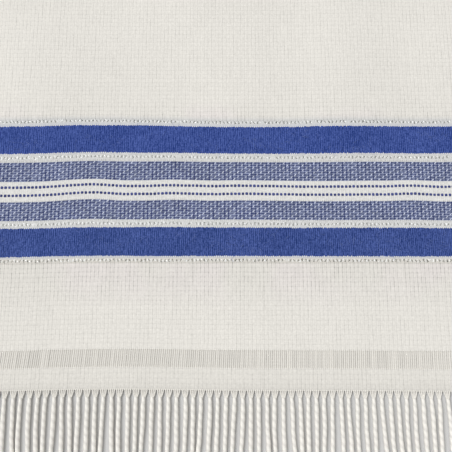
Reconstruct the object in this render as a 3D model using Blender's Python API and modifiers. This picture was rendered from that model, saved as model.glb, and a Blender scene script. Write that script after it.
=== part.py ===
# A wool tallit (prayer shawl), laid out flat and open on a surface, in Blender 4.5.
# Metres, +Z up. X runs across the cloth, along its stripes, and Y along its length.
# The origin is under the middle of the cloth, on the surface.

import math

import bmesh
import bpy

# ---- Driving sizes -----------------------------------------------------------
CLOTH_WIDTH = 1.200  # selvedge to selvedge
CLOTH_LENGTH = 1.700  # from one woven end to the other, without the fringe
CLOTH_WALL = 0.0015  # two crossed wool yarns
WARP_WALL = 0.0011  # bare warp yarns in the open bands
FRINGE_LENGTH = 0.070
FRINGE_WALL = 0.0024  # twisted pairs of warp yarns
SEAM_GAP = 0.0003  # clear space between neighbouring solids

HOLE_INSET = 0.045  # corner hole's centre, from the selvedge and from the woven end
HOLE_RADIUS = 0.0035

STRING_DIAMETER = 0.0013  # one tzitzit string
STRING_PITCH = 0.0015  # one winding to the next
WINDINGS = (7, 8, 11, 13)  # turns between the five double knots
KNOT_LENGTH = 0.0055
KNOT_RADIUS = 0.0027
STEM_RADIUS = 0.0020
STRANDS_LENGTH = 0.172  # free ends, twice as long as the wound stem
STRANDS_ROOT = 0.006  # width of the free ends where they leave the last knot
STRANDS_SPREAD = 0.038  # and at their tips
LOOP_WIDTH = 0.0046  # four strings side by side
LOOP_PAST_EDGE = 0.0032  # how far they run past the selvedge to the first knot
LOOP_BEND_PLACE = 0.0010  # centre of their turn in the hole, towards the selvedge

# Weaving order from a woven end towards the middle of the cloth.
#    name              depth     material      rows
END_SECTIONS = (
    ("end_strip", 0.01200, "natural_wool", 1),
    ("open_band", 0.00905, "bare_warp", 1),
    ("end_ground", 0.05145, "natural_wool", 5),
    ("blue_outer", 0.01635, "blue_wool", 1),
    ("silver_outer", 0.00505, "silver_stripe", 1),
    ("figured_outer", 0.01105, "figured_stripe", 1),
    ("dotted", 0.01200, "dotted_stripe", 1),
    ("figured_inner", 0.01105, "figured_stripe", 1),
    ("silver_inner", 0.00505, "silver_stripe", 1),
    ("blue_inner", 0.01635, "blue_wool", 1),
)
MIDDLE_ROWS = 20

# Distances from the centre line at which the cloth's solids have an edge.
COLUMN_EDGES = (
    0.0, 0.025, 0.050, 0.075, 0.100, 0.130, 0.170, 0.220, 0.280,
    0.340, 0.400, 0.450, 0.490, 0.520, 0.548, 0.574, 0.600,
)

# Low ripples in which the cloth stands off the surface.
#    x       y       angle   length  half_width  height   (angle of the crest from +X, degrees)
RIPPLES = (
    (-0.430, -0.520, 68.0, 0.360, 0.062, 0.0052),
    (-0.250, -0.300, 74.0, 0.420, 0.055, 0.0041),
    (0.335, -0.455, 112.0, 0.400, 0.066, 0.0056),
    (0.480, -0.150, 97.0, 0.330, 0.058, 0.0047),
    (0.200, 0.275, 58.0, 0.380, 0.060, 0.0038),
    (-0.345, 0.330, 121.0, 0.440, 0.068, 0.0060),
    (-0.505, -0.030, 84.0, 0.300, 0.052, 0.0036),
    (0.420, 0.470, 79.0, 0.360, 0.061, 0.0050),
    (-0.110, 0.560, 101.0, 0.340, 0.057, 0.0043),
    (0.075, -0.640, 83.0, 0.210, 0.044, 0.0016),
    (-0.120, -0.655, 99.0, 0.190, 0.040, 0.0013),
    (0.290, -0.735, 92.0, 0.150, 0.048, 0.0024),
    (-0.330, 0.745, 88.0, 0.140, 0.050, 0.0026),
)

# Places where the weft is not quite straight and runs out along the cloth.
#    x       y       reach_left  reach_right  reach_y  shift
DRIFTS = (
    (-0.0766, -0.790, 0.052, 0.105, 0.150, 0.00125),
    (0.1550, -0.830, 0.120, 0.110, 0.085, -0.00060),
    (-0.4100, -0.800, 0.180, 0.160, 0.260, -0.00360),
    (0.4300, -0.820, 0.190, 0.150, 0.240, 0.00300),
    (0.2200, 0.800, 0.260, 0.240, 0.300, 0.00450),
    (-0.3000, 0.820, 0.200, 0.240, 0.260, -0.00380),
)

# One tassel at each corner, with the way it lies out from its corner.
#    name          side  end   angle   (degrees from the stripes' direction, towards the fringe)
TASSELS = (
    ("near_left", -1, -1, 44.0),
    ("near_right", 1, -1, 31.0),
    ("far_left", -1, 1, 31.0),
    ("far_right", 1, 1, 44.0),
)

#    name             base colour                 roughness  metallic
FINISHES = {
    "natural_wool": ((0.760, 0.738, 0.690, 1.0), 0.92, 0.0),
    "bare_warp": ((0.640, 0.620, 0.575, 1.0), 0.92, 0.0),
    "fringe_wool": ((0.740, 0.718, 0.665, 1.0), 0.92, 0.0),
    "blue_wool": ((0.047, 0.084, 0.280, 1.0), 0.88, 0.0),
    "silver_stripe": ((0.600, 0.608, 0.600, 1.0), 0.55, 0.2),
    "figured_stripe": ((0.186, 0.210, 0.325, 1.0), 0.90, 0.0),
    "dotted_stripe": ((0.680, 0.680, 0.670, 1.0), 0.90, 0.0),
    "tassel_string": ((0.800, 0.780, 0.720, 1.0), 0.85, 0.0),
}


def swell(distance, reach):
    """1 at no distance, falling smoothly to exactly 0 at the reach."""
    if abs(distance) >= reach:
        return 0.0
    return math.cos(math.pi / 2 * distance / reach) ** 2


def plateau(distance, flat, reach):
    """1 up to the flat distance, then falling smoothly to exactly 0 at the reach."""
    if abs(distance) <= flat:
        return 1.0
    return swell(abs(distance) - flat, reach - flat)


def ripple_lift(x, y):
    lift = 0.0
    for centre_x, centre_y, angle, length, half_width, height in RIPPLES:
        crest = math.radians(angle)
        east, north = x - centre_x, y - centre_y
        along = east * math.cos(crest) + north * math.sin(crest)
        across = north * math.cos(crest) - east * math.sin(crest)
        lift = max(lift, height * swell(across, half_width) * plateau(along, 0.25 * length, 0.5 * length))
    return lift


def hole_centre(side, end):
    return side * (CLOTH_WIDTH / 2 - HOLE_INSET), end * (CLOTH_LENGTH / 2 - HOLE_INSET)


LOOP_LIFT = STRING_DIAMETER + 2 * SEAM_GAP  # the strings under a corner raise it


def corner_lift(x, y):
    hole_x, hole_y = hole_centre(1, 1)
    inwards = max(0.0, hole_x - 0.008 - abs(x))
    return LOOP_LIFT * swell(inwards, 0.030) * plateau(abs(y) - hole_y, 0.008, 0.028)


def weft_drift(x, y):
    shift = 0.0
    for centre_x, centre_y, left, right, reach_y, amount in DRIFTS:
        reach_x = left if x < centre_x else right
        shift += amount * swell(x - centre_x, reach_x) * swell(y - centre_y, reach_y)
    return shift


def laid(x, y, height):
    """Where a point of the flat cloth lies, with its height over the surface."""
    lift = max(ripple_lift(x, y), corner_lift(x, y))
    return x, y + weft_drift(x, y), height + lift


def column_at(share):
    """The place across the cloth of a share from 0 to 1 of its columns."""
    stops = [-edge for edge in reversed(COLUMN_EDGES[1:])] + list(COLUMN_EDGES)
    return stops[round(share * (len(stops) - 1))]


def finish(name):
    material = bpy.data.materials.get(name)
    if material is None:
        colour, roughness, metallic = FINISHES[name]
        material = bpy.data.materials.new(name)
        material.use_nodes = True
        shader = material.node_tree.nodes["Principled BSDF"]
        shader.inputs["Base Color"].default_value = colour
        shader.inputs["Roughness"].default_value = roughness
        shader.inputs["Metallic"].default_value = metallic
        material.diffuse_color = colour
    return material


def add_object(name, data, collection, finish_name=None):
    obj = bpy.data.objects.new(name, data)
    if finish_name:
        obj.data.materials.append(finish(finish_name))
    collection.objects.link(obj)
    return obj


def woven_section(name, start, end, rows, wall, finish_name, collection):
    """A stretch of cloth between two places along its length, as a wall of even thickness."""
    columns = 2 * (len(COLUMN_EDGES) - 1)
    mesh = bpy.data.meshes.new(name)
    bm = bmesh.new()
    bmesh.ops.create_grid(bm, x_segments=columns, y_segments=rows, size=0.5)
    for vert in bm.verts:
        x = column_at(vert.co.x + 0.5)
        y = start + (vert.co.y + 0.5) * (end - start)
        vert.co = laid(x, y, wall)
    bm.normal_update()
    bm.to_mesh(mesh)
    bm.free()
    mesh.shade_smooth()
    obj = add_object(name, mesh, collection, finish_name)
    thickness = obj.modifiers.new("cloth_wall", "SOLIDIFY")
    thickness.thickness = wall
    thickness.offset = -1.0
    return obj


def make_end(end_name, end, cloth, cutters):
    """Every woven section at one end of the cloth, and its fringe. Returns where the middle starts."""
    edge = CLOTH_LENGTH / 2
    low, high = sorted((end * (edge + SEAM_GAP), end * (edge + FRINGE_LENGTH)))
    woven_section(end_name + "_fringe", low, high, 1, FRINGE_WALL, "fringe_wool", cloth)
    for name, depth, finish_name, rows in END_SECTIONS:
        inset = SEAM_GAP / 2 if edge < CLOTH_LENGTH / 2 else 0.0
        low, high = sorted((end * (edge - inset), end * (edge - depth + SEAM_GAP / 2)))
        wall = WARP_WALL if name == "open_band" else CLOTH_WALL
        section = woven_section(f"{end_name}_{name}", low, high, rows, wall, finish_name, cloth)
        if name == "end_ground":
            for side in (-1, 1):
                cut_corner_hole(section, side, end, cutters)
        edge -= depth
    return edge


def cut_corner_hole(section, side, end, cutters):
    x, y = hole_centre(side, end)
    mesh = bpy.data.meshes.new("corner_hole")
    bm = bmesh.new()
    bmesh.ops.create_cone(
        bm, cap_ends=True, segments=12, radius1=HOLE_RADIUS, radius2=HOLE_RADIUS, depth=0.02
    )
    bm.to_mesh(mesh)
    bm.free()
    cutter = add_object(f"{section.name}_hole_{'left' if side < 0 else 'right'}", mesh, cutters)
    cutter.location = (x, y + weft_drift(x, y), 0.0)
    cutter.hide_render = True
    cutter.display_type = "WIRE"
    cut = section.modifiers.new("corner_hole", "BOOLEAN")
    cut.operation = "DIFFERENCE"
    cut.solver = "EXACT"
    cut.object = cutter


def loop_points():
    """The strings' way from the knot, over the selvedge, down the hole and back under it, in X and Z."""
    low = STRING_DIAMETER / 2 + SEAM_GAP / 3
    high = LOOP_LIFT + CLOTH_WALL + SEAM_GAP + STRING_DIAMETER / 2
    bend = (high - low) / 2
    reach = HOLE_INSET + LOOP_PAST_EDGE
    runs = [reach * share for share in (1.0, 0.66, 0.33)]
    points = [(x, high) for x in runs]
    steps = 8
    for step in range(steps + 1):
        angle = math.pi / 2 + math.pi * step / steps
        points.append((LOOP_BEND_PLACE + bend * math.cos(angle), low + bend + bend * math.sin(angle)))
    points += [(x, low) for x in reversed(runs)]
    return points


def tassel_loop(name, corner, collection):
    """Four strings lying side by side, as one flat band through the corner hole."""
    curve = bpy.data.curves.new(name, "CURVE")
    curve.dimensions = "3D"
    curve.extrude = (LOOP_WIDTH - STRING_DIAMETER) / 2
    curve.bevel_depth = STRING_DIAMETER / 2
    curve.bevel_resolution = 1
    curve.use_fill_caps = True
    points = loop_points()
    spline = curve.splines.new("POLY")
    spline.points.add(len(points) - 1)
    for point, (x, z) in zip(spline.points, points):
        point.co = (x, z, 0.0, 1.0)
    loop = add_object(name, curve, collection, "tassel_string")
    loop.parent = corner
    loop.rotation_euler = (math.pi / 2, 0.0, 0.0)
    return loop


def stem_profile():
    """Radius against distance along the wound stem: a double knot, then turns, and so on."""
    points = []
    place = 0.0
    for turns in WINDINGS + (0,):
        points += [
            (place + 0.0002, 0.75 * KNOT_RADIUS),
            (place + 0.25 * KNOT_LENGTH, KNOT_RADIUS),
            (place + 0.75 * KNOT_LENGTH, KNOT_RADIUS),
            (place + KNOT_LENGTH - 0.0002, 0.80 * KNOT_RADIUS),
        ]
        place += KNOT_LENGTH
        if turns:
            points += [(place, STEM_RADIUS), (place + turns * STRING_PITCH, STEM_RADIUS)]
            place += turns * STRING_PITCH
    return [(points[0][0], 0.0)] + points + [(points[-1][0], 0.0)], place


def tassel_stem(name, pivot, collection):
    profile, length = stem_profile()
    mesh = bpy.data.meshes.new(name)
    bm = bmesh.new()
    verts = [bm.verts.new((along, 0.0, radius)) for along, radius in profile]
    for first, second in zip(verts, verts[1:]):
        bm.edges.new((first, second))
    bm.to_mesh(mesh)
    bm.free()
    stem = add_object(name, mesh, collection, "tassel_string")
    turned = stem.modifiers.new("turned", "SCREW")
    turned.axis = "X"
    turned.angle = 2 * math.pi
    turned.steps = 10
    turned.render_steps = 10
    turned.use_merge_vertices = True
    turned.merge_threshold = 0.00001
    turned.use_normal_calculate = True
    stem.parent = pivot
    stem.location = (0.0, 0.0, KNOT_RADIUS)
    return length


def tassel_strands(name, pivot, start, collection):
    """The eight free ends, as one flat solid of their reach."""
    curve = bpy.data.curves.new(name, "CURVE")
    curve.dimensions = "2D"
    curve.fill_mode = "BOTH"
    curve.extrude = STRING_DIAMETER / 2
    half_root, half_spread = STRANDS_ROOT / 2, STRANDS_SPREAD / 2
    outline = (
        (0.0, -half_root),
        (0.35 * STRANDS_LENGTH, -0.60 * half_spread),
        (0.97 * STRANDS_LENGTH, -half_spread),
        (STRANDS_LENGTH, 0.0),
        (0.97 * STRANDS_LENGTH, half_spread),
        (0.35 * STRANDS_LENGTH, 0.60 * half_spread),
        (0.0, half_root),
    )
    spline = curve.splines.new("POLY")
    spline.points.add(len(outline) - 1)
    for point, (x, y) in zip(spline.points, outline):
        point.co = (x, y, 0.0, 1.0)
    spline.use_cyclic_u = True
    strands = add_object(name, curve, collection, "tassel_string")
    strands.parent = pivot
    strands.location = (start + SEAM_GAP, 0.0, STRING_DIAMETER / 2)


def make_tassel(corner_name, side, end, angle, collection):
    x, y = hole_centre(side, end)
    corner = add_object(f"tzitzit_{corner_name}_corner", None, collection)
    corner.location = (x, y + weft_drift(x, y), 0.0)
    corner.rotation_euler.z = 0.0 if side > 0 else math.pi
    name = f"tzitzit_{corner_name}"
    tassel_loop(name + "_loop", corner, collection)
    pivot = add_object(f"tzitzit_{corner_name}_pivot", None, collection)
    pivot.parent = corner
    knot_corner = 0.60 * KNOT_RADIUS * math.sin(math.radians(angle))
    pivot.location = (HOLE_INSET + LOOP_PAST_EDGE + SEAM_GAP + knot_corner, 0.0, 0.0)
    pivot.rotation_euler.z = math.radians(angle) * side * end
    length = tassel_stem(name + "_stem", pivot, collection)
    tassel_strands(name + "_strands", pivot, length, collection)


def main():
    for old in list(bpy.data.objects):
        bpy.data.objects.remove(old, do_unlink=True)
    cloth = bpy.data.collections.new("tallit")
    cutters = bpy.data.collections.new("tallit_cutters")
    for collection in (cloth, cutters):
        bpy.context.scene.collection.children.link(collection)
    middle = make_end("near", -1, cloth, cutters)
    make_end("far", 1, cloth, cutters)
    reach = middle - SEAM_GAP / 2
    woven_section("middle_ground", -reach, reach, MIDDLE_ROWS, CLOTH_WALL, "natural_wool", cloth)
    for corner_name, side, end, angle in TASSELS:
        make_tassel(corner_name, side, end, angle, cloth)


main()
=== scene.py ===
import math
import random

import bmesh
import bpy
from mathutils import Euler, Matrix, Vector


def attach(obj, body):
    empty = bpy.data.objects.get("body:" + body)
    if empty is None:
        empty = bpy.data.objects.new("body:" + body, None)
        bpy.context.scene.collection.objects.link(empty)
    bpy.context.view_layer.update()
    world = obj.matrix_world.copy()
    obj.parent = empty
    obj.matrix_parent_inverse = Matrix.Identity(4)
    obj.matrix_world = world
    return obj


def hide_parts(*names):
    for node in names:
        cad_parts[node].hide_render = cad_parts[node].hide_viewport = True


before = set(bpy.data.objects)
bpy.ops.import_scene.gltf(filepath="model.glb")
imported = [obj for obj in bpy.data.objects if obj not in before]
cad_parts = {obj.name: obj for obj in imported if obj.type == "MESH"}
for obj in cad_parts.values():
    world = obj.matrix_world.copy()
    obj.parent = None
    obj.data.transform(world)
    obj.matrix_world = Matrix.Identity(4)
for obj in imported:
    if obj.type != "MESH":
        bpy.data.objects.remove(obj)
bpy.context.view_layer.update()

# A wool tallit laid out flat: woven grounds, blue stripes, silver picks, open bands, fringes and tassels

mm = 0.001

# Camera, light and floor

shot = {
    "lens": 50.0,
    "sensor": 36.0,
    "tilt": 12.1,  # degrees from straight down
    "distance": 0.3548,
    "aim": (0.0, -0.75972, 0.0015),
}

studio = {
    "skyStrength": 0.58,
    "lampStrength": 1.925,
    "lampSpread": 34.0,  # degrees
    "lampFrom": (-1.7, 0.9, 2.6),
    "floorSize": 60.0,
    "floorColour": (0.62, 0.62, 0.615),
    "floorGrain": (3.0, 0.01),  # scale and spread
    "floorRoughness": 0.9,
    "floorSpecular": 0.1,
}


def addObject(name, data, material=None):
    piece = bpy.data.objects.new(name, data)
    bpy.context.scene.collection.objects.link(piece)
    if material:
        data.materials.append(material)
    return piece


def meshFrom(name, bm):
    mesh = bpy.data.meshes.new(name)
    bm.to_mesh(mesh)
    bm.free()
    return mesh


def makeCamera():
    data = bpy.data.cameras.new("camera")
    data.lens = shot["lens"]
    data.sensor_width = shot["sensor"]
    data.clip_start = 0.01
    camera = addObject("camera", data)
    tilt = math.radians(shot["tilt"])
    camera.location = Vector(shot["aim"]) + shot["distance"] * Vector((0.0, -math.sin(tilt), math.cos(tilt)))
    camera.rotation_euler = (tilt, 0.0, 0.0)
    bpy.context.scene.camera = camera


def makeLight():
    bpy.context.scene.view_settings.view_transform = "Standard"
    world = bpy.data.worlds.new("studio")
    bpy.context.scene.world = world
    world.use_nodes = True
    sky = world.node_tree.nodes["Background"]
    sky.inputs["Color"].default_value = (1.0, 1.0, 1.0, 1.0)
    sky.inputs["Strength"].default_value = studio["skyStrength"]
    data = bpy.data.lights.new("softLamp", "SUN")
    data.energy = studio["lampStrength"]
    data.angle = math.radians(studio["lampSpread"])
    lamp = addObject("softLamp", data)
    lamp.location = studio["lampFrom"]
    lamp.rotation_euler = (-Vector(studio["lampFrom"])).to_track_quat("-Z", "Y").to_euler()


# Nodes

class Amount:
    # a number that a material works out at each point, so that sums with it can be written as sums
    def __init__(self, socket):
        self.socket = socket

    def __add__(self, other):
        return calc("ADD", self, other)

    def __sub__(self, other):
        return calc("SUBTRACT", self, other)

    def __rsub__(self, other):
        return calc("SUBTRACT", other, self)

    def __mul__(self, other):
        return calc("MULTIPLY", self, other)

    __rmul__ = __mul__

    def __truediv__(self, other):
        return calc("DIVIDE", self, other)

    def __abs__(self):
        return calc("ABSOLUTE", self)


def addNode(beside, kind):
    # beside is a node or a socket of the same material
    return beside.id_data.nodes.new(kind)


def nodeFor(values, kind):
    return addNode(next(value.socket for value in values if isinstance(value, Amount)), kind)


def feed(slot, value):
    if isinstance(value, Amount):
        value = value.socket
    if isinstance(value, bpy.types.NodeSocket):
        slot.id_data.links.new(value, slot)
    else:
        slot.default_value = (*value, 1.0) if slot.type == "RGBA" else value


def calc(operation, *values, clamp=False):
    node = nodeFor(values, "ShaderNodeMath")
    node.operation = operation
    node.use_clamp = clamp
    for slot, value in zip(node.inputs, values):
        feed(slot, value)
    return Amount(node.outputs[0])


def blend(share, first, second):
    node = nodeFor([share], "ShaderNodeMix")
    node.data_type = "RGBA"
    for number, value in ((0, share), (6, first), (7, second)):
        feed(node.inputs[number], value)
    return node.outputs[2]


def tinted(colour, amount):
    node = nodeFor([amount], "ShaderNodeVectorMath")
    node.operation = "SCALE"
    feed(node.inputs[0], colour)
    feed(node.inputs["Scale"], amount)
    return node.outputs[0]


def ease(value, low, high):
    node = nodeFor([value], "ShaderNodeMapRange")
    node.interpolation_type = "SMOOTHSTEP"
    for slot, number in (("Value", value), ("From Min", low), ("From Max", high)):
        feed(node.inputs[slot], number)
    return Amount(node.outputs[0])


def ridge(value, sharpness):
    # 1 at whole numbers of the value, falling to 0 half way between them
    return calc("POWER", abs(calc("COSINE", value * math.pi)), sharpness)


def arch(value, often):
    # 0 at whole numbers of the value, with that many round humps between them
    return abs(calc("SINE", value * (often * math.pi)))


def wholePart(value):
    return calc("FLOOR", value) if isinstance(value, Amount) else value


def pointAt(x, y):
    node = nodeFor([x, y], "ShaderNodeCombineXYZ")
    feed(node.inputs[0], x)
    feed(node.inputs[1], y)
    return node.outputs[0]


def noise(point, dimensions, scale, detail):
    node = addNode(point, "ShaderNodeTexNoise")
    node.noise_dimensions = dimensions
    node.inputs["Scale"].default_value = scale
    node.inputs["Detail"].default_value = detail
    feed(node.inputs["Vector"], point)
    return Amount(node.outputs[0])


def cloudy(x, y, detail):
    return noise(pointAt(x, y), "2D", 1.0, detail)


def objectPlace(shader):
    return addNode(shader, "ShaderNodeTexCoord").outputs["Object"]


def hairy(shader, scale, detail=2.0):
    return noise(objectPlace(shader), "3D", scale, detail)


def drawn(x, y):
    # an even random number from 0 to 1 for each whole pair of numbers
    whole = pointAt(wholePart(x), wholePart(y))
    node = addNode(whole, "ShaderNodeTexWhiteNoise")
    node.noise_dimensions = "2D"
    feed(node.inputs["Vector"], whole)
    return Amount(node.outputs[0])


def around(value, spread):
    # turns a number from 0 to 1 into a factor that varies that much about 1
    return value * (2 * spread) + (1 - spread)


def mottled(tone, x, y, clouds):
    # clouds: scale across and along, detail, spread
    for scaleX, scaleY, detail, spread in clouds:
        tone = tone * around(cloudy(x * scaleX, y * scaleY, detail), spread)
    return tone


def unevenness(x, y, spread):
    # a slowly changing factor about 1 that never falls below 0
    return calc("MAXIMUM", around(cloudy(x, y, 1.0), spread), 0.0)


def attribute(shader, name):
    node = addNode(shader, "ShaderNodeAttribute")
    node.attribute_name = name
    return Amount(node.outputs["Fac"])


def splitUp(point):
    node = addNode(point, "ShaderNodeSeparateXYZ")
    feed(node.inputs[0], point)
    return [Amount(part) for part in node.outputs[:2]]


def mapPlace(shader, name):
    node = addNode(shader, "ShaderNodeUVMap")
    node.uv_map = name
    return splitUp(node.outputs[0])


def raised(shader, height, distance):
    node = addNode(shader, "ShaderNodeBump")
    node.inputs["Strength"].default_value = 1.0
    node.inputs["Distance"].default_value = distance
    feed(node.inputs["Height"], height)
    feed(shader.inputs["Normal"], node.outputs[0])


def newMaterial(name, roughness, specular=0.5):
    material = bpy.data.materials.new(name)
    material.use_nodes = True
    shader = material.node_tree.nodes["Principled BSDF"]
    shader.inputs["Roughness"].default_value = roughness
    shader.inputs["Specular IOR Level"].default_value = specular
    return material, shader


def paint(shader, colour, tone):
    feed(shader.inputs["Base Color"], tinted(colour, tone))




# Wool and yarn finishes. Places on the cloth are in millimetres, across it and from its nearer woven end.

weave = {
    "warpPair": 2.19,
    "pairShift": 1.29,
    "weftPair": 2.63,
    "groupCentre": 110.95,
    "pick": 0.66,
    "bluePick": 0.52,
}

wool = {
    "ground": (0.757, 0.733, 0.683),
    "rosy": (0.757, 0.718, 0.688),
    "blueTinge": (0.530, 0.550, 0.600),
    "blueTick": (0.330, 0.360, 0.450),
    "strip": (0.727, 0.704, 0.654),
    "edge": (0.612, 0.613, 0.603),
    "innerEdge": (0.626, 0.627, 0.617),
    "outerEdge": (0.652, 0.626, 0.578),
    "white": (0.702, 0.698, 0.676),
    "blue": (0.0395, 0.0735, 0.275),
    "blueOuter": (0.0415, 0.0745, 0.256),
    "blueSwing": (0.0380, 0.0520, 0.125),  # from the middle blue to its deepest and its palest, between which the ribs' painted shade and highlight and the wool's own mottling move
    "figuredDark": (0.022, 0.034, 0.122),
    "figuredMid": (0.234, 0.266, 0.390),
    "figuredFloat": (0.780, 0.820, 0.930),
    "warp": (0.800, 0.776, 0.726),
    # darker than the ground's wool, as painted shade over the open band's yarns
    "bareWarp": (0.708, 0.684, 0.635),
    "string": (0.800, 0.780, 0.720),
    "roughness": 0.92,
    "specular": 0.2,
    "sheen": 0.12,
    "sheenRoughness": 0.5,
}


def woolShader(name):
    material, shader = newMaterial(name, wool["roughness"], wool["specular"])
    shader.inputs["Sheen Weight"].default_value = wool["sheen"]
    shader.inputs["Sheen Roughness"].default_value = wool["sheenRoughness"]
    return material, shader


def wovenWool(name):
    material, shader = woolShader(name)
    return material, shader, *mapPlace(shader, "weave")


def pairNumber(x):
    return (x - weave["pairShift"]) / weave["warpPair"]


def groupDistance(d):
    return abs(d - weave["groupCentre"])


besideStripe = {
    "ticks": 0.60,
    "groundTinge": 0.72,
    "groundFrom": 38.4,  # from the stripe group's middle
    "whiteReach": (20.3, 21.4),
}


def besideBlue(pairs, colour, near, tinge):
    # blue wool tints the white beside it, and shows more in some gaps between the warps than in others
    gaps = pairs * 2.0
    ticks = ridge(gaps + 0.5, 2.0) * drawn(gaps, 6.0) * near * besideStripe["ticks"]
    return blend(ticks, blend(near * tinge, colour, wool["blueTinge"]), wool["blueTick"])


# openness and openReach: how much stronger the painted shade in the gaps is near the stripes, and how far that
# reaches
groundLooks = ("colour", "openness", "openReach", "edge", "tingeTo", "whiteEdge", "greyReach", "nearShade",
               "firstGap", "pairTurn")
grounds = {
    "end_strip": ("strip", 0.2, 28.0, "outerEdge", 39.4, 41.8, 1.0, 0.0, 41.82, 0.0),
    "end_ground": ("ground", 0.85, 28.0, "outerEdge", 39.4, 41.25, 1.5, 0.032, 41.82, 0.0),
    "middle": ("ground", 0.55, 12.0, "edge", 41.0, 41.85, 3.9, 0.0, 42.64, 0.5),
}

# the ground's weave; the lines between its pairs and its pinholes are darkened as painted shade
basket = {
    "wander": (0.20, 0.25),  # how far the lines between warp pairs and between weft pairs stray, in pairs
    "uneven": (1.35, 1.6, 2.0),  # the lines between warp pairs, between weft pairs and within a warp pair
    "sharp": (14.0, 12.0, 9.0),  # the same two kinds of line, and the pinholes
    "withinPair": 0.42,
    "dashes": 0.36,
    # painted shade in the pinholes, least and how much more at random; then how dark the painted shade is
    # between warp pairs, between weft pairs and in the pinholes
    "pinholeShade": (0.30, 0.70),
    "paintedShades": (0.088, 0.017, 0.125),
    "openFrom": 44.0,
    "warps": 0.008,
    "wefts": 0.007,
    "crossings": 0.022,
    "clouds": ((0.9, 0.9, 4.0, 0.110),),
    "broad": 0.036,
    "selvedgeOpen": 0.25,
    "selvedgeCords": (1.6, 1.5, 0.09),  # width, sharpness and depth
    # painted shade between the warps at the open band's edges
    "teeth": 0.16,
    "relief": 0.00007,
}


def groundWool(name, section):
    # two warps over two wefts and back, with painted shade in the lines between the pairs and in a pinhole at
    # each corner of a block
    look = dict(zip(groundLooks, grounds[section]))
    material, shader, x, d = wovenWool(name)
    g = groupDistance(d)
    wobble = cloudy(x * 0.07, d * 0.05, 1.0) - 0.5
    pairs = pairNumber(x)
    across = pairs + look["pairTurn"] + wobble * basket["wander"][0]
    along = (g - look["firstGap"]) / weave["weftPair"] - wobble * basket["wander"][1]
    column, row = calc("ROUND", across), calc("ROUND", along)
    warpUneven, weftUneven, withinUneven = basket["uneven"]
    warpSharp, weftSharp, holeSharp = basket["sharp"]
    within = ridge(across + 0.5, warpSharp) * unevenness(wholePart(across) * 0.91, d * 0.13, withinUneven)
    warpLines = ridge(across, warpSharp) * unevenness(column * 0.83, d * 0.08, warpUneven)
    warpLines = warpLines * around(drawn(column, along), basket["dashes"]) + within * basket["withinPair"]
    weftGapShade = ridge(along, weftSharp) * unevenness(x * 0.12, row * 0.79, weftUneven)
    least, more = basket["pinholeShade"]
    holes = ridge(across, holeSharp) * ridge(along, holeSharp) * (drawn(column, row) * more + least)

    weftUp = calc("FRACT", (wholePart(across) + wholePart(along)) * 0.5) * 2.0
    warpHeight = arch(across, 2) * 0.35 + arch(along, 1)
    weftHeight = arch(along, 2) * 0.25 + arch(across, 1)
    woven = ease(g, look["whiteEdge"] - 0.4, look["whiteEdge"] + 0.4)
    raised(shader, (warpHeight + weftUp * (weftHeight - warpHeight)) * woven, basket["relief"])

    near = 1.0 - ease(g, basket["openFrom"], basket["openFrom"] + look["openReach"])
    side = cloth["width"] / 2 / mm - abs(x)
    loose = ease(side, cloth["selvedge"] - 1.5, cloth["selvedge"] + 1.5)
    # painted shade in the gaps between and within the warp pairs, between the weft pairs and in the pinholes,
    # stronger near the stripes and weaker at the selvedges
    warpShade, weftShade, holeShade = basket["paintedShades"]
    dark = warpLines * warpShade + weftGapShade * weftShade + holes * holeShade
    dark = dark * (near * look["openness"] + 1.0) * woven
    dark = dark * (loose * (1 - basket["selvedgeOpen"]) + basket["selvedgeOpen"])
    cordWide, cordSharp, cordDepth = basket["selvedgeCords"]
    cords = (1.0 - loose) * ridge(side / cordWide, cordSharp) * cordDepth
    broad = cloudy(x * 0.021, d * 0.015, 2.0)
    tone = (1.0 - dark) * (1.0 - cords) * around(broad, basket["broad"])
    warp, weft = across * 2.0, along * 2.0
    for first, second, spread in ((warp, 0.0, "warps"), (0.0, weft, "wefts"), (warp, weft, "crossings")):
        tone = tone * around(drawn(first, second), basket[spread])
    tone = mottled(tone, x, d, basket["clouds"]) * (1.0 - near * look["nearShade"])

    # painted shade between the warps where they run into the open band, with the warps themselves a little
    # lighter
    outer, inner = (abs(d - openBand["start"] - step) for step in (0.0, openBand["depth"]))
    bandEdge = 1.0 - ease(calc("MINIMUM", outer, inner), 0.1, 1.0)
    tone = tone * (1.0 - bandEdge * (ridge(pairs * 2.0, 1.5) - 0.55) * basket["teeth"])
    colour = blend(near * ease(broad, 0.40, 0.62), wool[look["colour"]], wool["rosy"])
    greyer = 1.0 - ease(g, look["whiteEdge"], look["whiteEdge"] + look["greyReach"])
    colour = blend(greyer, colour, wool[look["edge"]])
    tinge = 1.0 - ease(g, besideStripe["groundFrom"], look["tingeTo"])
    paint(shader, besideBlue(pairs, colour, tinge, besideStripe["groundTinge"]), tone)
    return material


blueCover = {
    "ribs": (1.6, 0.47, 1.2),  # sharpness, depth and unevenness of the painted shade in the grooves between the ribs and the painted highlight on them
    "warps": 0.04,
    "clouds": ((1.40, 0.30, 3.0, 0.72), (1.30, 1.10, 4.0, 0.76), (0.05, 0.08, 3.0, 0.20)),
    "teeth": (0.26, 0.54),  # least depth over the white beside it, and how much more
    "relief": 0.00010,
}


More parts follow.
